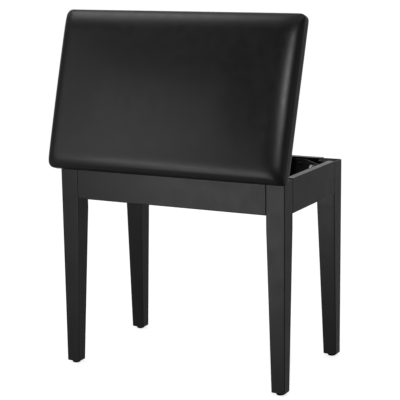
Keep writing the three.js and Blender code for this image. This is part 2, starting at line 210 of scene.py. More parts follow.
def leather():
    """Smooth black synthetic leather with a fine pebbled grain."""
    finish = Finish("seat_leather", (0.0028, 0.0028, 0.003), 0.34, Coat_Weight=0.06, Coat_Roughness=0.3)
    finish.set("Specular IOR Level", 0.4)
    finish.mottle(finish.noise(7, 4, 0.55), 0.3, 0.7, (0.0022, 0.0022, 0.0024), (0.0034, 0.0034, 0.0036))
    creases = finish.cells(620, "DISTANCE_TO_EDGE")
    finish.rough(finish.span(finish.noise(55, 5, 0.6), 0.2, 0.8, 0.31, 0.39))
    finish.bump(finish.span(creases, 0.0, 0.12), 0.000008)
    finish.bump(finish.cells(1000), 0.00001)
    finish.bump(finish.noise(45, 3, 0.5), 0.00003)
    return finish.material


def bonded_cloth():
    """Black non-woven cloth with the small embossed dots that bond it."""
    finish = Finish("dust_cloth", (0.016, 0.016, 0.017), 0.92, Sheen_Weight=0.25, Sheen_Roughness=0.5)
    finish.set("Specular IOR Level", 0.2)
    fibres = finish.noise(900, 5, 0.7, (1, 0.3, 1), 1.2)
    strands = finish.noise(900, 5, 0.7, (0.3, 1, 1), 1.2)
    felt = finish.math("ADD", fibres, strands)
    dots = finish.span(finish.cells(520), 0.12, 0.3)
    finish.mottle(felt, 0.8, 1.2, (0.011, 0.011, 0.012), (0.026, 0.026, 0.027))
    finish.bump(felt, 0.00012)
    finish.bump(dots, 0.00008)
    return finish.material


def zinc():
    """Bright zinc-plated steel with faint spangle and handling marks."""
    finish = Finish("zinc_steel", (0.6, 0.61, 0.62), 0.3, Metallic=1.0)
    finish.mottle(finish.cells(240), 0.1, 0.8, (0.52, 0.53, 0.54), (0.66, 0.67, 0.69))
    finish.rough(finish.span(finish.noise(190, 4, 0.65), 0.25, 0.75, 0.22, 0.4))
    finish.bump(finish.noise(700, 2), 0.000008)
    return finish.material


def rolled_steel():
    """Bright rolled steel, with fine lines along X."""
    finish = Finish("hinge_steel", (0.5, 0.5, 0.5), 0.32, Metallic=1.0)
    lines = finish.noise(1400, 3, 0.7, (0.02, 1, 1))
    finish.mottle(finish.noise(70, 4), 0.3, 0.7, (0.44, 0.44, 0.44), (0.56, 0.56, 0.57))
    finish.rough(finish.span(lines, 0.3, 0.7, 0.24, 0.42))
    finish.bump(lines, 0.00001)
    return finish.material


def powder_coat():
    """Black powder coat on pressed steel."""
    finish = Finish("black_steel", (0.017, 0.017, 0.018), 0.5)
    finish.mottle(finish.noise(40, 4), 0.3, 0.7, (0.013, 0.013, 0.014), (0.021, 0.021, 0.022))
    finish.rough(finish.span(finish.noise(160, 3), 0.3, 0.7, 0.44, 0.58))
    finish.bump(finish.noise(1100, 2), 0.00004)
    return finish.material


def moulded_plastic():
    """Black moulded plastic with a fine spark-eroded texture and a few scuffs."""
    finish = Finish("foot_plastic", (0.006, 0.006, 0.006), 0.5, Specular_IOR_Level=0.03)
    scuffs = finish.span(finish.noise(160, 5, 0.7), 0.6, 0.8)
    finish.colour(finish.blend(scuffs, (0.004, 0.004, 0.004), (0.012, 0.012, 0.012)))
    finish.rough(finish.span(scuffs, 0.0, 1.0, 0.45, 0.65))
    finish.bump(finish.noise(1500, 2), 0.00003)
    return finish.material


def rubber():
    """Black rubber with a little dust on it."""
    finish = Finish("bumper_rubber", (0.016, 0.016, 0.016), 0.75)
    dust = finish.span(finish.noise(120, 4, 0.6), 0.5, 0.75)
    finish.colour(finish.blend(dust, (0.014, 0.014, 0.014), (0.032, 0.031, 0.03)))
    finish.rough(finish.span(dust, 0.0, 1.0, 0.7, 0.88))
    finish.bump(finish.noise(900, 3), 0.00004)
    return finish.material


def painted_board():
    """Flat black paint on thin board."""
    finish = Finish("bottom_board", (0.012, 0.012, 0.012), 0.62)
    finish.mottle(finish.noise(12, 4), 0.3, 0.7, (0.01, 0.01, 0.01), (0.016, 0.016, 0.016))
    finish.rough(finish.span(finish.noise(50, 4), 0.3, 0.7, 0.55, 0.7))
    finish.bump(finish.noise(800, 3, 0.6), 0.00005)
    return finish.material


def plywood():
    """Bare plywood, with its face grain along X."""
    finish = Finish("lid_board_wood", (0.42, 0.3, 0.18), 0.7)
    grain = finish.noise(120, 5, 0.6, (0.05, 1, 1), 0.6)
    finish.mottle(grain, 0.3, 0.7, (0.32, 0.21, 0.12), (0.5, 0.37, 0.23))
    finish.rough(finish.span(grain, 0.3, 0.7, 0.62, 0.78))
    finish.bump(grain, 0.00015)
    return finish.material


LACQUER = {axis: [lacquer(axis), lacquer(axis, worn=True)] for axis in "XYZ"}
END_GRAIN = end_grain()
FINISH_OF_SLOT = {
    "black_steel": powder_coat(),
    "hinge_steel": rolled_steel(),
    "zinc_steel": zinc(),
    "foot_plastic": moulded_plastic(),
    "bumper_rubber": rubber(),
    "bottom_board": painted_board(),
    "lid_board_wood": plywood(),
    "seat_leather": leather(),
    "dust_cloth": bonded_cloth(),
}

# ---- Making pieces ----


def add_object(name, data):
    made = bpy.data.objects.new(name, data)
    bpy.context.scene.collection.objects.link(made)
    return made


def new_piece(name, mesh, body, slot, place=HERE, replaces=(), materials=()):
    """An object made of one mesh, placed and riding on a body, in its slot's finish or in given ones."""
    piece = add_object(name, mesh)
    piece.matrix_world = place
    for finish in materials or [FINISH_OF_SLOT[slot]]:
        mesh.materials.append(finish)
    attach(piece, body)
    if replaces:
        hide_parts(*replaces)
    return piece


def mesh_from(name, build):
    """A mesh that build(bmesh) fills in, with its faces turned outwards."""
    shape = bmesh.new()
    build(shape)
    bmesh.ops.recalc_face_normals(shape, faces=shape.faces)
    mesh = bpy.data.meshes.new(name)
    shape.to_mesh(mesh)
    shape.free()
    return mesh


def smooth(mesh, sharpest=35):
    mesh.shade_smooth()
    mesh.set_sharp_from_angle(angle=math.radians(sharpest))


def skin(shape, loops):
    """Faces between each ring of vertices and the next; all have the same count."""
    for lower, upper in zip(loops, loops[1:]):
        for i in range(len(lower)):
            j = (i + 1) % len(lower)
            shape.faces.new((lower[i], lower[j], upper[j], upper[i]))


def loft(shape, rings):
    """Skins rings of points and closes both ends."""
    loops = [[shape.verts.new(point) for point in ring] for ring in rings]
    skin(shape, loops)
    shape.faces.new(loops[0][::-1])
    shape.faces.new(loops[-1])


def bridge(shape, rings):
    """Skins rings of points and joins the last back to the first, as round a tunnel."""
    loops = [[shape.verts.new(point) for point in ring] for ring in rings]
    skin(shape, loops + loops[:1])


def facing(point, direction):
    """A frame at a point whose Z axis looks along a direction."""
    turn = Vector(direction).to_track_quat("Z", "Y").to_matrix().to_4x4()
    return Matrix.Translation(point) @ turn


def border_of(last_x, last_y):
    """The places round the edge of a grid, in order."""
    return (
        [(i, 0) for i in range(last_x)]
        + [(last_x, j) for j in range(last_y)]
        + [(i, last_y) for i in range(last_x, 0, -1)]
        + [(0, j) for j in range(last_y, 0, -1)]
    )


def turned(ring, place=HERE):
    """Points spread evenly round Z, from the (radius, height) of each."""
    points = []
    for i, (radius, height) in enumerate(ring):
        a = 2 * math.pi * i / len(ring)
        points.append(place @ Vector((radius * math.cos(a), radius * math.sin(a), height)))
    return points


def rounded(node, radius, materials=(), share=lambda edge: 1.0, shortest=8 * MM, sharpest=25, segments=4):
    """A copy of a CAD node with its outward edges rounded, in the last of its finishes."""
    shape = bmesh.new()
    shape.from_mesh(frame["nodes"][node].data)
    bmesh.ops.remove_doubles(shape, verts=shape.verts, dist=1e-6)
    bmesh.ops.dissolve_limit(shape, angle_limit=math.radians(1), verts=shape.verts, edges=shape.edges)
    weight = shape.edges.layers.float.new("bevel_weight_edge")
    for edge in shape.edges:
        outward = len(edge.link_faces) == 2 and edge.is_convex
        if outward and edge.calc_length() > shortest and edge.calc_face_angle() > math.radians(sharpest):
            edge[weight] = share(edge)
    mesh = bpy.data.meshes.new(node + "_finished")
    shape.to_mesh(mesh)
    shape.free()
    smooth(mesh)
    piece = new_piece(node + "_finished", mesh, body_of[node], slot_of[node], HERE, [node], materials)
    bevel = piece.modifiers.new("Rounded edges", "BEVEL")
    bevel.limit_method = "WEIGHT"
    bevel.width = radius
    bevel.segments = segments
    bevel.use_clamp_overlap = False
    bevel.harden_normals = True
    bevel.material = len(mesh.materials) - 1
    return piece


# ---- Box and legs ----

EDGE_RADIUS = 1.9 * MM
JOINT_EDGE = 0.35  # share of that radius on an apron's ends
INNER_EDGE = 0.25  # and on edges that face into the box
TOP_EDGE = 0.6  # and along the rim
CORNER_CUT_REACH = 12 * MM  # from a leg's inner corner, round the flat that its bolts go through
CORNER_CUT_HEIGHT = 70 * MM
APRON_LIP = 12 * MM  # how near to its upper or lower side an apron's edge lies
UPRIGHT = 0.9  # least upward share of the normal of a face that looks up


def middle_of(edge):
    return (edge.verts[0].co + edge.verts[1].co) / 2


def finish_leg(node):
    """A leg in lacquer with its grain upright, rubbed edges and a dull top."""
    low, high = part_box(node)
    inner = Vector((min(low.x, high.x, key=abs), min(low.y, high.y, key=abs)))

    def share(edge):
        middle = middle_of(edge)
        near = (middle.xy - inner).length < CORNER_CUT_REACH
        return INNER_EDGE if near and middle.z > high.z - CORNER_CUT_HEIGHT else 1.0

    plain, edge = LACQUER["Z"]
    leg = rounded(node, EDGE_RADIUS, [plain, END_GRAIN, edge], share)
    for face in leg.data.polygons:
        if face.normal.z > UPRIGHT:
            face.material_index = 1


def finish_apron(node, axis):
    """An apron in lacquer with its grain and its length along an axis."""
    low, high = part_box(node)
    across = 1 if axis == "X" else 0
    along = 1 - across
    outer = max(low[across], high[across], key=abs)

    def share(edge):
        run = edge.verts[1].co - edge.verts[0].co
        if abs(run[along]) < run.length / 2:
            return JOINT_EDGE
        middle = middle_of(edge)
        inside = abs(middle[across] - outer) > 1 * MM
        if inside and middle.z < low.z + APRON_LIP:
            return INNER_EDGE
        return TOP_EDGE if middle.z > high.z - APRON_LIP else 1.0

    rounded(node, EDGE_RADIUS, LACQUER[axis], share)


for corner in CORNERS:
    finish_leg("leg_" + corner)
for side in ("rear", "front"):
    finish_apron("apron_" + side, "X")
for side in SIDES:
    finish_apron("apron_" + side, "Y")

# ---- Feet and bumpers ----

ROUND_SIDES = 48
FOOT_STEM_RADIUS = 3 * MM
FOOT_EDGE_WIDTH = 2 * MM  # of the rounded edge round the foot's flat
FOOT_EDGE_HEIGHT = 2.2 * MM
FOOT_EDGE_ANGLES = np.radians([15, 35, 55, 75, 90])
FOOT_GROOVE = 0.35 * MM
BUMPER_FOOT = 0.4 * MM  # height of the bumper's upright side
BUMPER_DOME = 1.6 * MM
BUMPER_FLAT = 0.35  # share of the bumper's radius that its flat top takes
BUMPER_SHOULDER = 0.57  # and that its dome takes
BUMPER_ANGLES = np.radians([0, 20, 40, 60, 80, 90])


def turned_piece(node, profile):
    """A round piece on a vertical axis, in the middle of its CAD node."""
    low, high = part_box(node)
    middle = (low + high) / 2
    place = Matrix.Translation((middle.x, middle.y, low.z))
    rings = [turned([point] * ROUND_SIDES, place) for point in profile]
    mesh = mesh_from(node, lambda shape: loft(shape, rings))
    smooth(mesh)
    new_piece(node + "_turned", mesh, body_of[node], slot_of[node], HERE, [node])


def foot_profile(node):
    """A foot with a rounded lower edge and a ring groove, with its stem above."""
    low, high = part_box(node)
    radius = (high.x - low.x) / 2
    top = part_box(node.replace("glide", "leg"))[0].z - low.z - GAP
    flat = radius - FOOT_EDGE_WIDTH
    edge = [
        (flat + FOOT_EDGE_WIDTH * math.sin(a), FOOT_EDGE_HEIGHT * (1 - math.cos(a)))
        for a in FOOT_EDGE_ANGLES
    ]
    groove = [
        (radius, top - 1.4 * MM),
        (radius - FOOT_GROOVE, top - 1.1 * MM),
        (radius - FOOT_GROOVE, top - 0.7 * MM),
        (radius, top - 0.4 * MM),
    ]
    rim = [(radius - 0.3 * MM, top), (FOOT_STEM_RADIUS, top), (FOOT_STEM_RADIUS, high.z - low.z)]
    return [(flat / 2, 0), (flat, 0), *edge, *groove, *rim]


def bumper_profile(node):
    """A low rubber dome with a flat top."""
    low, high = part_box(node)
    radius = (high.x - low.x) / 2
    shoulder = high.z - low.z - BUMPER_DOME
    dome = [
        (radius * (BUMPER_FLAT + BUMPER_SHOULDER * math.cos(a)), shoulder + BUMPER_DOME * math.sin(a))
        for a in BUMPER_ANGLES
    ]
    return [(radius / 2, 0), (radius, 0), (radius, BUMPER_FOOT), *dome]


for corner in CORNERS:
    turned_piece("glide_" + corner, foot_profile("glide_" + corner))
for side in SIDES:
    turned_piece("lid_bumper_" + side, bumper_profile("lid_bumper_" + side))

# ---- Brackets, hinges and stays ----

SHEET_EDGE = 0.35 * MM
HINGE_EDGE = SHEET_EDGE / 2
RIVET_EDGE = 0.6 * MM
METAL_EDGES = {"shortest": 0.6 * MM, "sharpest": 50}  # which of their edges are rounded

for node in frame["nodes"]:
    if node.startswith(("corner_bracket", "stay_box_bracket", "stay_lid_bracket", "stay_arm", "stay_link")):
        rounded(node, SHEET_EDGE, segments=2, **METAL_EDGES)
    elif node.startswith(("hinge_fixed_leaf", "hinge_moving_leaf", "hinge_pin")):
        rounded(node, HINGE_EDGE, segments=2, **METAL_EDGES)
    elif node.startswith(("stay_box_pin", "stay_knee_pin", "stay_lid_pin")):
        rounded(node, RIVET_EDGE, segments=3, **METAL_EDGES)

# ---- Leg bolts and nuts ----

BOLT_RADIUS = 3 * MM
THREADED_LENGTH = 20 * MM
THREAD_PITCH = 1.0 * MM
THREAD_DEPTH = 0.3 * MM
THREAD_SIDES = 24
ROWS_PER_PITCH = 4
NUT_ACROSS_FLATS = 10 * MM
NUT_BORE = 3.05 * MM  # radius
NUT_CHAMFER = 1.02  # radius of the chamfer's upper edge, as a share of half the flats' distance
FLANGE_RADIUS = 6.3 * MM
FLANGE_THICKNESS = 0.9 * MM
SIXTH_TURN = math.pi / 3


def corner_frame(node):
    """A frame at the middle of a bolt or nut, whose Z points out of the leg, into the box."""
    low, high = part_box(node)
    middle = (low + high) / 2
    return facing(middle, (-math.copysign(1, middle.x), math.copysign(1, box_middle_y - middle.y), 0))


def bolt_rings(low, high, place):
    """A stud whose free end is threaded."""
    rows = int(THREADED_LENGTH / THREAD_PITCH * ROWS_PER_PITCH)
    rings = [[(BOLT_RADIUS, low)] * THREAD_SIDES]
    for row in range(rows + 1):
        height = high - THREADED_LENGTH + THREADED_LENGTH * row / rows
        ring = []
        for side in range(THREAD_SIDES):
            phase = (row / ROWS_PER_PITCH - side / THREAD_SIDES) % 1.0
            ring.append((BOLT_RADIUS - THREAD_DEPTH * abs(2 * phase - 1), height))
        rings.append(ring)
    rings[-1] = [(BOLT_RADIUS - 2 * THREAD_DEPTH, high)] * THREAD_SIDES
    return [turned(ring, place) for ring in rings]


def nut_rings(low, high, place):
    """A flanged hexagon nut: its flange, its outer skin upwards, and its bore's upper chamfer."""
    hexagon = []
    for i in range(ROUND_SIDES):
        off = (2 * math.pi * i / ROUND_SIDES + SIXTH_TURN / 2) % SIXTH_TURN - SIXTH_TURN / 2
        hexagon.append(NUT_ACROSS_FLATS / 2 / math.cos(off))
    chamfered = [min(radius, NUT_ACROSS_FLATS / 2 * NUT_CHAMFER) for radius in hexagon]
    flange = low + FLANGE_THICKNESS
    rings = [
        (low, [NUT_BORE] * ROUND_SIDES),
        (low, [FLANGE_RADIUS] * ROUND_SIDES),
        (flange, [FLANGE_RADIUS] * ROUND_SIDES),
        (flange + 0.4 * MM, hexagon),
        (high - 0.5 * MM, hexagon),
        (high, chamfered),
        (high, [NUT_BORE + 0.3 * MM] * ROUND_SIDES),
        (high - 0.4 * MM, [NUT_BORE] * ROUND_SIDES),
    ]
    return [turned([(radius, height) for radius in radii], place) for height, radii in rings]


box_middle_y = (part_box("apron_rear")[0].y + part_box("apron_front")[1].y) / 2
for node in frame["nodes"]:
    if not node.startswith(("leg_bolt", "leg_nut")):
        continue
    place = corner_frame(node)
    low, high = (end.z for end in box_in(place, node))
    if node.startswith("leg_bolt"):
        rings = bolt_rings(low, high, place)
        mesh = mesh_from(node, lambda shape: loft(shape, rings))
    else:
        rings = nut_rings(low, high, place)
        mesh = mesh_from(node, lambda shape: bridge(shape, rings))
    smooth(mesh, 30)
    new_piece(node + "_threaded", mesh, body_of[node], slot_of[node], HERE, [node])

# ---- Wood screws ----

SCREW_RINGS = 9
SCREW_SIDES = 32
SCREW_DOME = 3.2  # power of the head's fall towards its edge
SCREW_LIFT = 0.02  # height of the head's edge, as a share of the head's
SCREW_SINK = 0.1 * MM  # how far the head reaches into the work
RECESS_DEPTH = 0.75  # share of the head's height
RECESS_HALF_WIDTH = 0.16  # of an arm of the cross, as a share of the head's radius
RECESS_REACH = 0.55  # share of that radius


def add_screw(shape, place, radius, tall):
    """A pan head with a cross recess. Its Z axis points out of the work, and its foot is at z = 0."""
    arm = RECESS_HALF_WIDTH * radius
    reach = RECESS_REACH * radius
    loops = []
    for ring in range(1, SCREW_RINGS + 1):
        share = ring / SCREW_RINGS
        loop = []
        for i in range(SCREW_SIDES):
            a = 2 * math.pi * i / SCREW_SIDES
            x, y = radius * share * math.cos(a), radius * share * math.sin(a)
            height = tall * (1 - share**SCREW_DOME + SCREW_LIFT)
            near, far = sorted((abs(x), abs(y)))
            if near < arm and far < reach:
                height -= RECESS_DEPTH * tall * (1 - far / reach / 2)
            loop.append(shape.verts.new(place @ Vector((x, y, height))))
        loops.append(loop)
    foot = turned([(radius, -SCREW_SINK)] * SCREW_SIDES, place)
    loops.append([shape.verts.new(point) for point in foot])
    for inner, outer in zip(loops, loops[1:]):
        for i in range(SCREW_SIDES):
            j = (i + 1) % SCREW_SIDES
            shape.faces.new((inner[i], outer[i], outer[j], inner[j]))
    shape.faces.new(loops[0])
    shape.faces.new(loops[-1][::-1])


def screws(name, body, slot, places, head, seed, matrix=HERE):
    """A set of screws as one piece; each is turned by chance, as they are when driven home."""
    chance = random.Random(seed)

    def build(shape):
        for place in places:
            turn = Matrix.Rotation(chance.uniform(0, math.pi), 4, "Z")
            add_screw(shape, place @ turn, *head)

    mesh = mesh_from(name, build)
    smooth(mesh, 30)
    new_piece(name, mesh, body, slot, matrix)


# Radius and height of each kind of screw head.
RIM_SCREW = (2.3 * MM, 0.7 * MM)
LID_SCREW = (2.6 * MM, 0.9 * MM)
BRACKET_SCREW = (3.4 * MM, 1.8 * MM)
STAY_SCREW = (3 * MM, 1.5 * MM)

LEAF_THICKNESS = 1.3 * MM
LEAF_SCREWS = (-17 * MM, 17 * MM)
RIM_SCREW_INSET = 5 * MM  # from the leaf's front edge
LID_SCREW_INSET = 6 * MM
for seed, side in enumerate(SIDES, 1):
    low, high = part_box("hinge_fixed_leaf_" + side)
    middle_x = (low.x + high.x) / 2
    leaf_top = low.z + LEAF_THICKNESS
    across = high.y - RIM_SCREW_INSET
    places = [facing((middle_x + x, across, leaf_top), (0, 0, 1)) for x in LEAF_SCREWS]
    screws("hinge_rim_screws_" + side, "frame", "zinc_steel", places, RIM_SCREW, seed)
    low, high = lid_box("hinge_moving_leaf_" + side)
    leaf_face = high.z - LEAF_THICKNESS
    across = high.y - LID_SCREW_INSET
    places = [facing((middle_x + x, across, leaf_face), (0, 0, -1)) for x in LEAF_SCREWS]
    screws("hinge_lid_screws_" + side, "lid", "zinc_steel", places, LID_SCREW, seed + 2, LID)

BRACKET_SHEET = 2 * MM
FLANGE_MIDDLE = 10 * MM
FLANGE_SCREWS = (-16 * MM, 16 * MM)
for seed, corner in enumerate(CORNERS, 5):
    low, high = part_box("corner_bracket_" + corner)
    out_x, out_y = (1 if "right" in corner else -1), (1 if "front" in corner else -1)
    far_x, near_x = (high.x, low.x) if out_x > 0 else (low.x, high.x)
    far_y, near_y = (high.y, low.y) if out_y > 0 else (low.y, high.y)
    middle_z = (low.z + high.z) / 2
    places = []
    for z in FLANGE_SCREWS:
        on_long = (near_x + out_x * FLANGE_MIDDLE, far_y - out_y * BRACKET_SHEET, middle_z + z)
        on_side = (far_x - out_x * BRACKET_SHEET, near_y + out_y * FLANGE_MIDDLE, middle_z + z)
        places.append(facing(on_long, (0, -out_y, 0)))
        places.append(facing(on_side, (-out_x, 0, 0)))
    screws("bracket_screws_" + corner, "frame", "black_steel", places, BRACKET_SCREW, seed)

STAY_SCREWS = (-7 * MM, 7 * MM)
STAY_SCREW_LINE = 11.5 * MM  # from the bracket's inner face
for seed, side in enumerate(SIDES, 9):
    low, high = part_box("stay_box_bracket_" + side)
    inner_x = min(low.x, high.x, key=abs)
    screw_x = inner_x + math.copysign(STAY_SCREW_LINE, inner_x)
    middle_z = (low.z + high.z) / 2
    places = [facing((screw_x, low.y + BRACKET_SHEET, middle_z + z), (0, 1, 0)) for z in STAY_SCREWS]
    screws("stay_box_screws_" + side, "frame", "black_steel", places, STAY_SCREW, seed)
    low, high = lid_box("stay_lid_bracket_" + side)
    inner_x = min(low.x, high.x, key=abs)
    screw_x = inner_x + math.copysign(STAY_SCREW_LINE, inner_x)
    middle_y = (low.y + high.y) / 2
    places = [facing((screw_x, middle_y + y, high.z - BRACKET_SHEET), (0, 0, -1)) for y in STAY_SCREWS]
    screws("stay_lid_screws_" + side, "lid", "black_steel", places, STAY_SCREW, seed + 2, LID)

# ---- The seat: cover and foam as one closed cushion round the board ----

WALL_TOP = 19 * MM  # height of the flat wall, where the cover lies on the board's edge
# How far in from each edge the padding's rounding dies out, and how square its shoulder is.
ROLL_LEFT = (30 * MM, 2.7)
ROLL_RIGHT = (48 * MM, 2.3)
ROLL_REAR = (40 * MM, 3.2)
ROLL_FRONT = (48 * MM, 2.3)
CROWN_ALONG_X = 2.5 * MM
CROWN_ALONG_Y = 4 * MM
SWELL = 5 * MM  # most that the simulation may move a point
SWELL_PRESSURE = 4.0
SWELL_FRAMES = 20
SWELL_START = 10 * MM  # distance from the edge where the swelling starts, and where it is full
SWELL_FULL = 160 * MM
CORNER_RADIUS = 13 * MM
EDGE_WIDTH = 25 * MM  # of the closer grid lines along the edges
EDGE_ANGLES = np.radians([0, 18, 33, 48, 62, 76, 90])
CELL = 8 * MM
SMOOTHING_ROUNDS = 30
HEM_WIDTH = 44 * MM
HEM_THICKNESS = 1.2 * MM
INNER_CORNER = 3 * MM  # least corner radius of the cover's inner rings
PLEAT_DEPTH = 0.55 * MM
PLEATS_PER_TURN = 12
PLEAT_START = 9 * MM  # above the wall's top, from where the pleats grow downwards to full depth
PLEAT_GROWTH = 12 * MM
PLEAT_MARGIN = 2 * MM  # how far the pleats run past the round corner
HEM_REACH = 1 * MM  # above the seat's underside, where the pleats turn to point down
LUMP_HEIGHT = 0.15 * MM
LUMPS = ((9, 3.7, 1.0), (24, 8.1, 0.3))  # per metre, place in the noise, and share of the height
LUMP_START = 2 * MM  # above the wall's top, where the unevenness starts, and where it is full
LUMP_FULL = 20 * MM
# How far the stuffing carries each corner of the cover from its true place, in millimetres (x, y).
CORNER_PULL = {
    (-1, -1): (-3.0, 0.0),
    (1, -1): (-1.0, 0.0),
    (-1, 1): (-7.5, 3.0),
    (1, 1): (0.5, 0.0),
}

half_x = (seat_high.x - seat_low.x) / 2
half_y = (seat_high.y - seat_low.y) / 2
wall_top = seat_low.z + WALL_TOP
roll_height = seat_high.z - wall_top - CROWN_ALONG_X - CROWN_ALONG_Y - SWELL


def seat_lines(half):
    """Grid lines from -half to half: close over the rolled edges, even between them."""
    edge = [half - EDGE_WIDTH * (1 - math.cos(a)) for a in EDGE_ANGLES]
    inner = edge[-1]
    count = 2 * round(inner / CELL)
    middle = [-inner + 2 * inner * i / count for i in range(1, count)]
    return [-x for x in edge] + middle + edge[::-1]


def round_corner(x, y, size_x, size_y, radius):
    """Moves a point of a rectangle's ring onto the same ring with round corners."""
    over_x = abs(x) - (size_x - radius)
    over_y = abs(y) - (size_y - radius)
    if radius <= 0 or over_x <= 0 or over_y <= 0:
        return x, y
    shrink = max(over_x, over_y) / math.hypot(over_x, over_y)
    return (
        math.copysign(size_x - radius + over_x * shrink, x),
        math.copysign(size_y - radius + over_y * shrink, y),
    )


def rounding(inset, reach, power):
    """Share of the full height that the padding reaches at a distance from an edge."""
    left = 1 - min(inset / reach, 1.0)
    return math.sqrt(1 - left**power)


def seat_top(x, y):
    """The cushion's upper surface over a point of the plan, before it swells."""
    inset_x, inset_y = half_x - abs(x), half_y - abs(y)
    inset = min(inset_x, inset_y)
    radius = CORNER_RADIUS * (1 - min(inset / EDGE_WIDTH, 1.0))
    round_x, round_y = round_corner(x, y, half_x - inset, half_y - inset, radius)
    crown = CROWN_ALONG_X * (1 - (x / half_x) ** 2) + CROWN_ALONG_Y * (1 - (y / half_y) ** 2)
    along_x = rounding(half_x + x, *ROLL_LEFT) * rounding(half_x - x, *ROLL_RIGHT)
    along_y = rounding(half_y + y, *ROLL_REAR) * rounding(half_y - y, *ROLL_FRONT)
    return Vector((round_x, round_y, wall_top + (roll_height + crown) * along_x * along_y))


def skirt_rings():
    """(inset, height) of the rings from the wall's top, round the hem and over the board."""
    bottom = seat_low.z
    hem_top = bottom + HEM_THICKNESS
    ceiling = board_high.z + 0.2 * MM
    cavity = 2.6 * MM  # inset of the hollow that the board lies in
    wall = [(0.5 * MM, wall_top - 2.5 * MM), (0.1 * MM, wall_top - 5 * MM), (0, wall_top - 8 * MM)]
    turn = [(0.1 * MM, bottom + 3.2 * MM), (0.7 * MM, bottom + 1.2 * MM), (2 * MM, bottom + 0.2 * MM)]
    hem = [(inset * MM, bottom) for inset in (4.5, 10, 18, 27, 36, 42)]
    edge = [(HEM_WIDTH, bottom + 0.3 * MM), (HEM_WIDTH, hem_top - 0.3 * MM)]
    inside = [(inset, hem_top) for inset in (HEM_WIDTH - 0.5 * MM, 36 * MM, 18 * MM, cavity)]
    over = [(cavity, ceiling), (18 * MM, ceiling), (60 * MM, ceiling)]
    return wall + turn + hem + edge + inside + over


def fill_ring(shape, ring, last_x, last_y):
    """Closes a ring of grid points with the rest of its grid; each point lies between its line's ends."""
    grid = dict(ring)
    for i in range(1, last_x):
        first, last = ring[i, 0].co, ring[i, last_y].co
        for j in range(1, last_y):
            share = (ring[0, j].co.y - ring[0, 0].co.y) / (ring[0, last_y].co.y - ring[0, 0].co.y)
            grid[i, j] = shape.verts.new(first.lerp(last, share))
    for i in range(last_x):
        for j in range(last_y):
            shape.faces.new((grid[i, j], grid[i, j + 1], grid[i + 1, j + 1], grid[i + 1, j]))


def cushion_mesh():
    """Top grid, then rings of the same points down the wall, under the board and back over it."""
    lines_x, lines_y = seat_lines(half_x), seat_lines(half_y)
    last_x, last_y = len(lines_x) - 1, len(lines_y) - 1
    border = border_of(last_x, last_y)
    loose = []

    def build(shape):
        grid = [[shape.verts.new(seat_top(x, y)) for y in lines_y] for x in lines_x]
        for i in range(last_x):
            for j in range(last_y):
                shape.faces.new((grid[i][j], grid[i + 1][j], grid[i + 1][j + 1], grid[i][j + 1]))
                if i > 1 and j > 1 and i < last_x and j < last_y:
                    loose.append(i * (last_y + 1) + j)
        upper = [grid[i][j] for i, j in border]
        for inset, height in skirt_rings():
            size_x, size_y = half_x - inset, half_y - inset
            radius = max(CORNER_RADIUS - inset, INNER_CORNER)
            lower = []
            for i, j in border:
                x, y = lines_x[i] * size_x / half_x, lines_y[j] * size_y / half_y
                lower.append(shape.verts.new((*round_corner(x, y, size_x, size_y, radius), height)))
            for k in range(len(border)):
                n = (k + 1) % len(border)
                shape.faces.new((upper[k], lower[k], lower[n], upper[n]))
            upper = lower
        fill_ring(shape, dict(zip(border, upper)), last_x, last_y)

    return mesh_from("seat_cushion", build), loose, (last_x + 1, last_y + 1)


def points_of(mesh):
    points = np.empty(len(mesh.vertices) * 3)
    mesh.vertices.foreach_get("co", points)
    return points.reshape(-1, 3)


def set_points(mesh, points):
    mesh.vertices.foreach_set("co", np.asarray(points, np.float32).ravel())
    mesh.update()


def blow_up(piece, loose):
    """How far each point moves when the loose ones are blown up as cloth under pressure."""
    start = points_of(piece.data)
    held = piece.vertex_groups.new(name="held")
    held.add(sorted(set(range(len(start))) - set(loose)), 1.0, "REPLACE")
    cloth = piece.modifiers.new("Cloth", "CLOTH")
    cloth.settings.quality = 6
    cloth.settings.vertex_group_mass = "held"
    cloth.settings.use_pressure = True
    cloth.settings.uniform_pressure_force = SWELL_PRESSURE
    cloth.settings.effector_weights.gravity = 0
    cloth.collision_settings.use_collision = False
    cloth.point_cache.frame_end = SWELL_FRAMES
    scene = bpy.context.scene
    for step in range(1, SWELL_FRAMES + 1):
        scene.frame_set(step)
    evaluated = piece.evaluated_get(bpy.context.evaluated_depsgraph_get())
    moved = points_of(evaluated.to_mesh()) - start
    evaluated.to_mesh_clear()
    piece.modifiers.remove(cloth)
    piece.vertex_groups.remove(held)
    scene.frame_set(1)
    return moved


def swell(piece, loose, grid):
    """Applies the cloth's swelling to the top, capped, evened out and faded towards the edges."""
    moved = blow_up(piece, loose)
    length = np.linalg.norm(moved, axis=1, keepdims=True)
    moved *= SWELL * np.tanh(length / SWELL) / np.maximum(length, 1e-9)
    top = grid[0] * grid[1]
    push = moved[:top].reshape(*grid, 3)
    for _ in range(SMOOTHING_ROUNDS):
        around = (push[:-2, 1:-1] + push[2:, 1:-1] + push[1:-1, :-2] + push[1:-1, 2:]) / 4
        push[1:-1, 1:-1] = (push[1:-1, 1:-1] + around) / 2
    points = points_of(piece.data)
    insets = np.array([half_x, half_y]) - abs(points[:top, :2])
    share = np.clip((insets - SWELL_START) / (SWELL_FULL - SWELL_START), 0, 1)
    fade = (share * share * (3 - 2 * share)).prod(axis=1)
    points[:top] += push.reshape(-1, 3) * fade[:, None]
    set_points(piece.data, points)


def subdivide(piece):
    """One level of subdivision, applied."""
    modifier = piece.modifiers.new("Subdivision", "SUBSURF")
    modifier.levels = 1
    evaluated = piece.evaluated_get(bpy.context.evaluated_depsgraph_get())
    finer = bpy.data.meshes.new_from_object(evaluated)
    piece.modifiers.clear()
    piece.data = finer


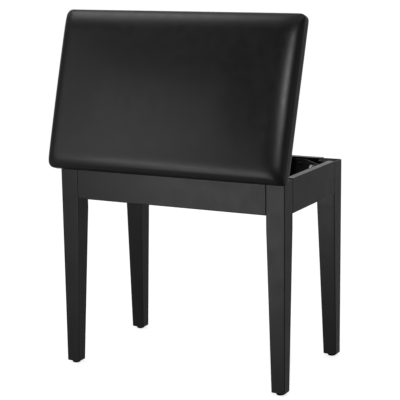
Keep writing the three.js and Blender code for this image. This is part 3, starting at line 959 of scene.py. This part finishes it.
def shape_cover(mesh):
    """Pleats at the corners, where the cover is gathered under the board, and slight unevenness on top."""
    points = points_of(mesh)
    for (side_x, side_y), pull in CORNER_PULL.items():
        nearness = (1 + side_x * points[:, 0] / half_x) * (1 + side_y * points[:, 1] / half_y) / 4
        points[:, :2] += nearness[:, None] * np.array(pull) * MM
    pleat_start = wall_top + PLEAT_START
    for index, (x, y, z) in enumerate(points):
        over_x, over_y = abs(x) - (half_x - CORNER_RADIUS), abs(y) - (half_y - CORNER_RADIUS)
        if min(over_x, over_y) > -PLEAT_MARGIN and z < pleat_start:
            angle = math.atan2(max(over_y, 0), max(over_x, 0))
            fold = math.cos(angle * PLEATS_PER_TURN) * math.sqrt(math.sin(2 * angle))
            push = PLEAT_DEPTH * fold * min(1.0, (pleat_start - z) / PLEAT_GROWTH)
            if z > seat_low.z + HEM_REACH:
                outwards = Vector((over_x, over_y)).normalized()
                points[index][0] += math.copysign(outwards.x * push, x)
                points[index][1] += math.copysign(outwards.y * push, y)
            else:
                points[index][2] += min(-push, 0.0) / 2
        if z > wall_top + LUMP_START:
            lumps = sum(size * noise.noise(Vector((x * count, y * count, at))) for count, at, size in LUMPS)
            points[index][2] += LUMP_HEIGHT * lumps * min(1.0, (z - wall_top) / LUMP_FULL)
    set_points(mesh, points)


def make_cushion():
    """The cushion, swollen, made finer and shaped at its corners."""
    mesh, loose, grid = cushion_mesh()
    cushion = add_object("seat_cushion", mesh)
    swell(cushion, loose, grid)
    subdivide(cushion)
    shape_cover(cushion.data)
    smooth(cushion.data, 60)
    cushion.data.materials.append(FINISH_OF_SLOT["seat_leather"])
    cushion.matrix_world = LID @ Matrix.Translation((seat_middle.x, seat_middle.y, 0))
    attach(cushion, "lid")
    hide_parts("seat_cover", "seat_foam")


make_cushion()

# ---- Dust cloth and staples ----

CLOTH_CELL = 5 * MM
CLOTH_SHEET = 0.35 * MM
CLOTH_SLACK = 1.3 * MM
CLOTH_HELD = 7 * MM  # width of the cloth's edge that its staples hold flat
CLOTH_FREED = 30 * MM  # further in, over which it comes free
STAPLE_CROWN = 10 * MM
STAPLE_WIRE = 0.6 * MM
STAPLE_SINK = 1 * MM  # how far a staple's legs show inside the lid
STAPLE_BEND = 0.5 * MM
STAPLE_SECTION = [(-0.5, -0.8), (0.5, -0.8), (0.5, 0.8), (-0.5, 0.8)]  # in wire thicknesses
STAPLE_SCATTER = (3 * MM, 1.2 * MM, 0.15)  # along the line, across it, and in its turn
STAPLE_END = 14 * MM  # from the last staple of a line to the corner where two lines meet
STAPLE_CLEARANCE = 8 * MM  # from a staple's middle to the hardware
# Inset from the lid's edge and spacing of each line of staples.
HEM_STAPLES = (24 * MM, 30 * MM)
CLOTH_STAPLES = (41 * MM, 55 * MM)


def cloth_rise(x, y, size_x, size_y):
    """How far the stapled cloth is drawn up towards the board at a point of its plan."""
    inset = min(size_x - abs(x), size_y - abs(y))
    free = min(1.0, max(0.0, (inset - CLOTH_HELD) / CLOTH_FREED))
    folds = 0.5 + 0.5 * noise.noise(Vector((x * 10 + y * 6, y * 14, 1.3)))
    ripple = 0.5 + 0.5 * noise.noise(Vector((x * 34, y * 34, 5.2)))
    return CLOTH_SLACK * free * (0.75 * folds + 0.25 * ripple)


def make_cloth():
    """The dust cloth: two layers of points, joined round their edge."""
    size_x = (cloth_high.x - cloth_low.x) / 2
    size_y = (cloth_high.y - cloth_low.y) / 2
    middle_y = (cloth_high.y + cloth_low.y) / 2
    count_x, count_y = round(2 * size_x / CLOTH_CELL), round(2 * size_y / CLOTH_CELL)
    xs = [-size_x + 2 * size_x * i / count_x for i in range(count_x + 1)]
    ys = [-size_y + 2 * size_y * j / count_y for j in range(count_y + 1)]

    def build(shape):
        def point(x, y, lift):
            return shape.verts.new((x, middle_y + y, cloth_low.z + lift + cloth_rise(x, y, size_x, size_y)))

        layers = [[[point(x, y, lift) for y in ys] for x in xs] for lift in (0, CLOTH_SHEET)]
        for rows in layers:
            for i in range(count_x):
                for j in range(count_y):
                    shape.faces.new((rows[i][j], rows[i + 1][j], rows[i + 1][j + 1], rows[i][j + 1]))
        around = border_of(count_x, count_y)
        for (i, j), (k, m) in zip(around, around[1:] + around[:1]):
            shape.faces.new((layers[0][i][j], layers[0][k][m], layers[1][k][m], layers[1][i][j]))

    mesh = mesh_from("dust_cloth_sheet", build)
    smooth(mesh, 50)
    cloth = new_piece("dust_cloth_sheet", mesh, "lid", "dust_cloth", LID, ["dust_cloth"])


def add_staple(shape, x, y, surface, turn):
    """A staple driven upwards into the lid; its crown lies on the surface, below it."""
    half = STAPLE_CROWN / 2
    drop = surface - 0.6 * STAPLE_WIRE
    sink = surface + STAPLE_SINK
    path = [
        (-half, sink, 0),
        (-half, drop + STAPLE_BEND, 0),
        (-half + STAPLE_BEND, drop, math.pi / 2),
        (half - STAPLE_BEND, drop, math.pi / 2),
        (half, drop + STAPLE_BEND, math.pi),
        (half, sink, math.pi),
    ]
    place = Matrix.Translation((x, y, 0)) @ Matrix.Rotation(turn, 4, "Z")
    rings = []
    for along, height, tilt in path:
        section = place @ Matrix.Translation((along, 0, height)) @ Matrix.Rotation(tilt, 4, "Y")
        rings.append([section @ Vector((a * STAPLE_WIRE, b * STAPLE_WIRE, 0)) for a, b in STAPLE_SECTION])
    loft(shape, rings)


def staple_line(inset, spacing, chance, is_clear):
    """Staple places round the lid at an inset from its edge, as (x, y, turn)."""
    size_x, size_y = half_x - inset, half_y - inset
    places = []
    for fixed, span, turn in ((size_y, size_x, 0.0), (size_x, size_y, math.pi / 2)):
        reach = span - STAPLE_END
        count = round(2 * reach / spacing)
        for sign in (-1, 1):
            for i in range(count + 1):
                slide, shift, twist = (chance.uniform(-most, most) for most in STAPLE_SCATTER)
                along, off = 2 * reach * i / count - reach + slide, sign * fixed + shift
                x, y = (along, off) if turn == 0.0 else (off, along)
                if is_clear(x, y + seat_middle.y):
                    places.append((x, y + seat_middle.y, turn + twist))
    return places


def make_staples():
    """Two lines of staples, in the cover's hem and in the dust cloth, that keep clear of the hardware."""
    chance = random.Random(21)
    hinge_place = Vector(lid_hinge["pos_m"])
    covered = []
    for side in SIDES:
        covered.append(lid_box("hinge_moving_leaf_" + side))
        covered.append(lid_box("stay_lid_bracket_" + side))
        covered.append([corner - hinge_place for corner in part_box("lid_bumper_" + side)])

    def is_clear(x, y):
        return all(
            max(low.x - x, x - high.x, low.y - y, y - high.y) >= STAPLE_CLEARANCE for low, high in covered
        )

    def build(shape):
        for line, surface in ((HEM_STAPLES, seat_low.z), (CLOTH_STAPLES, cloth_low.z)):
            for x, y, turn in staple_line(*line, chance, is_clear):
                add_staple(shape, x, y, surface, turn)

    mesh = mesh_from("seat_staples", build)
    smooth(mesh, 40)
    new_piece("seat_staples", mesh, "lid", "zinc_steel", LID)


make_cloth()
make_staples()

# ---- CAD nodes that keep their shape ----

for node in ("bottom_panel", "lid_board"):
    materials = frame["nodes"][node].data.materials
    materials.clear()
    materials.append(FINISH_OF_SLOT[slot_of[node]])

# ---- Floor, light and camera ----

FLOOR_REACH = 40.0
BACKDROP_RADIUS = 39.0


def add_stage(name, mesh, finish, *unseen_by):
    """A piece of the studio that some kinds of rays pass by."""
    mesh.materials.append(finish.material)
    piece = add_object(name, mesh)
    for rays in unseen_by:
        setattr(piece, "visible_" + rays, False)


def make_floor():
    """A pale floor with light of its own, like a light table, which keeps the bench's shadow faint."""
    grid = {"x_segments": 4, "y_segments": 4, "size": FLOOR_REACH}
    mesh = mesh_from("floor", lambda shape: bmesh.ops.create_grid(shape, **grid))
    finish = Finish("floor_paper", (0.6, 0.6, 0.6), 0.9, Emission_Color=(1, 1, 1, 1), Emission_Strength=0.8)
    finish.set("Specular IOR Level", 0.1)
    finish.bump(finish.noise(300, 2), 0.0001)
    # The surround below stands for the floor in the bench's reflections.
    add_stage("floor", mesh, finish, "glossy", "shadow")


def make_backdrop():
    """A white dome beyond the floor that only the camera sees, so that low views end in white too."""
    ball = {"u_segments": 48, "v_segments": 24, "radius": BACKDROP_RADIUS}
    mesh = mesh_from("backdrop", lambda shape: bmesh.ops.create_uvsphere(shape, **ball))
    smooth(mesh)
    finish = Finish("backdrop_paper", (0, 0, 0), 1.0, Emission_Color=(1, 1, 1, 1), Emission_Strength=1.1)
    add_stage("backdrop", mesh, finish, "glossy", "diffuse", "transmission", "shadow")


# Soft patches of the surround: azimuth from +Y towards +X, height, half width (degrees), strength.
AMBIENT = 0.05
PATCHES = (
    (0, 90, 48, 0.7),
    (-30, 8, 55, 0.9),
    (30, -8, 45, 0.22),
    (95, -8, 46, 0.34),
    (-115, 4, 55, 0.18),
    (-120, -50, 38, 0.2),
)
# Soft boxes: place, aim, width, height (metres), radiance.
SOFT_BOXES = (
    ((-0.36, -1.35, 0.1), (-0.2, 0.0, 0.2), 0.88, 0.7, 2.2),
    ((-0.74, -1.35, 0.47), (-0.1, 0.0, 0.45), 0.34, 0.14, 8.0),
    ((-0.95, -1.35, 0.98), (0.0, 0.0, 0.6), 0.8, 0.8, 1.2),
    ((0.613, -1.075, 1.13), (0.25, -0.14, 0.6), 0.32, 0.24, 14.0),
    ((-0.9, -0.25, 2.0), (0.0, 0.0, 0.7), 0.9, 0.9, 2.4),
)


def make_surround():
    """A dim studio with broad, soft patches of light."""
    world = bpy.data.worlds.new("studio")
    bpy.context.scene.world = world
    world.use_nodes = True
    nodes, links = world.node_tree.nodes, world.node_tree.links
    background = nodes["Background"]
    direction = nodes.new("ShaderNodeTexCoord").outputs["Generated"]
    total = None
    for azimuth, height, width, strength in PATCHES:
        a, e, w = (math.radians(value) for value in (azimuth, height, width))
        towards = Vector((math.sin(a) * math.cos(e), math.cos(a) * math.cos(e), math.sin(e)))
        dot = nodes.new("ShaderNodeVectorMath")
        dot.operation = "DOT_PRODUCT"
        links.new(direction, dot.inputs[0])
        dot.inputs[1].default_value = towards
        fall = nodes.new("ShaderNodeMapRange")
        fall.interpolation_type = "SMOOTHSTEP"
        fall.inputs["From Min"].default_value = math.cos(w)
        fall.inputs["From Max"].default_value = 1.0
        fall.inputs["To Max"].default_value = strength
        links.new(dot.outputs["Value"], fall.inputs["Value"])
        add = nodes.new("ShaderNodeMath")
        add.operation = "ADD"
        add.inputs[1].default_value = AMBIENT
        if total:
            links.new(total, add.inputs[1])
        links.new(fall.outputs["Result"], add.inputs[0])
        total = add.outputs[0]
    links.new(total, background.inputs["Strength"])
    background.inputs["Color"].default_value = (1, 1, 1, 1)


def make_soft_boxes():
    for index, (place, aim, width, height, radiance) in enumerate(SOFT_BOXES):
        data = bpy.data.lights.new(f"soft_box_{index}", "AREA")
        data.shape = "RECTANGLE"
        data.size, data.size_y = width, height
        data.energy = radiance * math.pi * width * height
        box = add_object(data.name, data)
        box.location = place
        box.rotation_euler = (Vector(aim) - Vector(place)).to_track_quat("-Z", "Y").to_euler()
        box.visible_camera = False


def make_camera():
    data = bpy.data.cameras.new("camera")
    data.lens = CAMERA_LENS
    data.sensor_width = 36
    camera = add_object("camera", data)
    aim = Matrix.Rotation(CAMERA_YAW, 4, "Z") @ Matrix.Rotation(math.pi / 2 - CAMERA_PITCH, 4, "X")
    camera.matrix_world = Matrix.Translation(CAMERA_PLACE) @ aim @ Matrix.Rotation(CAMERA_ROLL, 4, "Z")
    bpy.context.scene.camera = camera


make_floor()
make_backdrop()
make_surround()
make_soft_boxes()
make_camera()
bpy.context.scene.view_settings.view_transform = "Standard"
